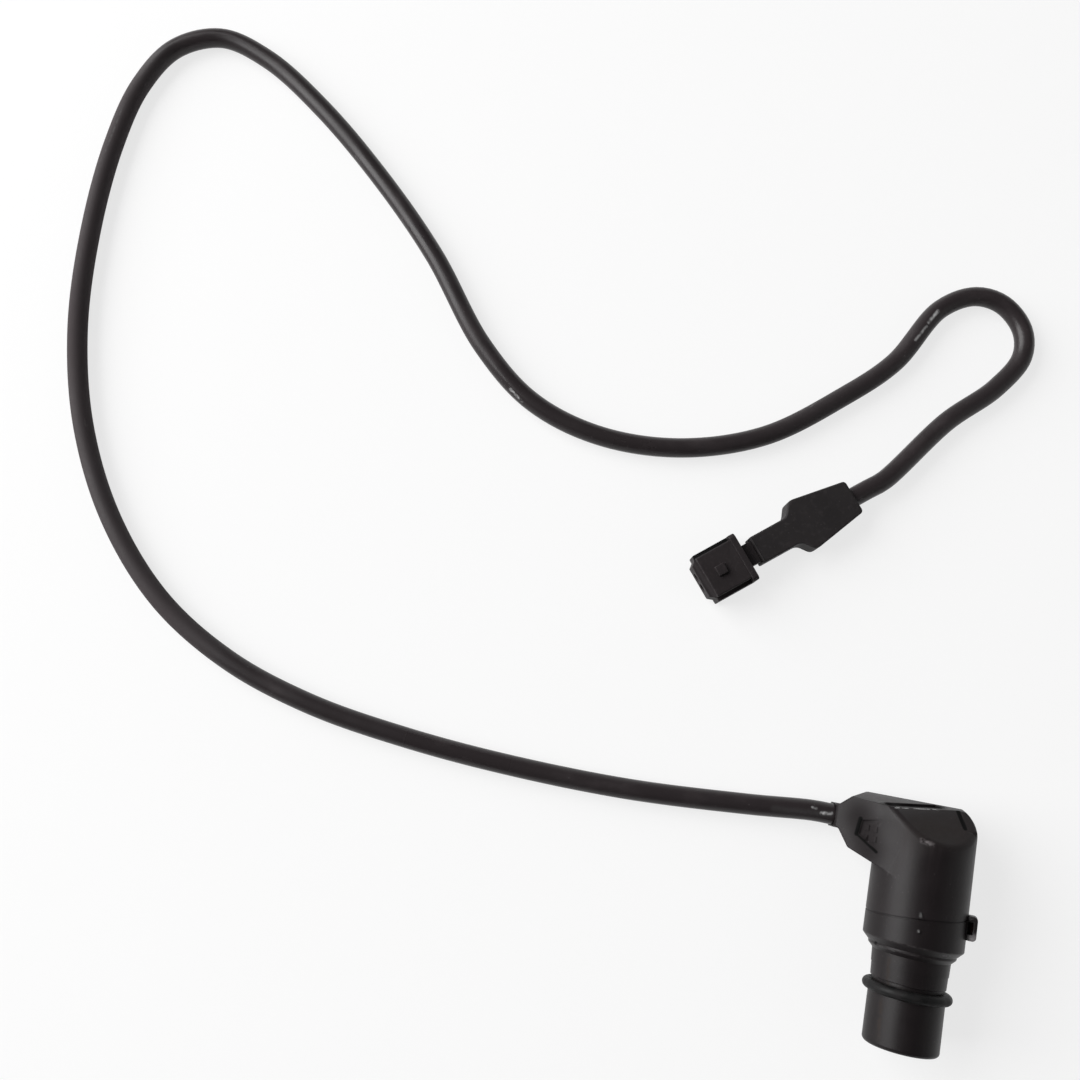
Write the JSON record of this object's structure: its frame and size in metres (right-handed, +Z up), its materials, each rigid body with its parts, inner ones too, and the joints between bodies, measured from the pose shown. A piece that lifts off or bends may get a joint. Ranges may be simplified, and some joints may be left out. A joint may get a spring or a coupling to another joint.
{
  "type": "crankshaft position sensor",
  "caption": "Inductive pick-up with a round barrel, seal ring, moulded head with a wedge-shaped cable outlet, and a long flying lead ending in a flat plug.",
  "frame": {"origin": "centre of the sensing face, on the barrel's axis", "axes": "+Y along the barrel's axis from the sensing face to the head, +Z up from the table it lies on, +X away from the cable outlet"},
  "size_m": [0.2627, 0.2341, 0.0233],
  "materials": {
    "sleeve_plastic": "satin moulded",
    "head_plastic": "satin moulded, lightly worn",
    "ring_rubber": "smooth",
    "cable_rubber": "glossy extruded",
    "boot_rubber": "matt moulded",
    "plug_plastic": "satin moulded",
    "bobbin_plastic": "natural moulded",
    "winding_wire": "enamelled copper",
    "magnet_alloy": "sintered",
    "soft_iron": "turned",
    "terminal_brass": "stamped",
    "tinned_metal": "tinned",
    "core_red": "extruded",
    "core_white": "extruded",
    "seal_silicone": "moulded"
  },
  "bodies": {
    "root": {"sensor_sleeve": "sleeve_plastic", "o_ring": "ring_rubber", "pole_pin": "soft_iron", "coil_bobbin": "bobbin_plastic", "coil_winding": "winding_wire", "magnet": "magnet_alloy", "flux_plate": "soft_iron", "terminal_left": "terminal_brass", "terminal_right": "terminal_brass", "splice_left": "tinned_metal", "splice_right": "tinned_metal", "head_core_left": "core_red", "head_core_right": "core_white", "head_overmould": "head_plastic", "cable_jacket": "cable_rubber", "connector_boot": "boot_rubber", "connector_housing": "plug_plastic", "plug_core_left": "core_red", "plug_core_right": "core_white", "wire_seal_left": "seal_silicone", "wire_seal_right": "seal_silicone", "contact_left": "terminal_brass", "contact_right": "terminal_brass"}
  },
  "joints": []
}
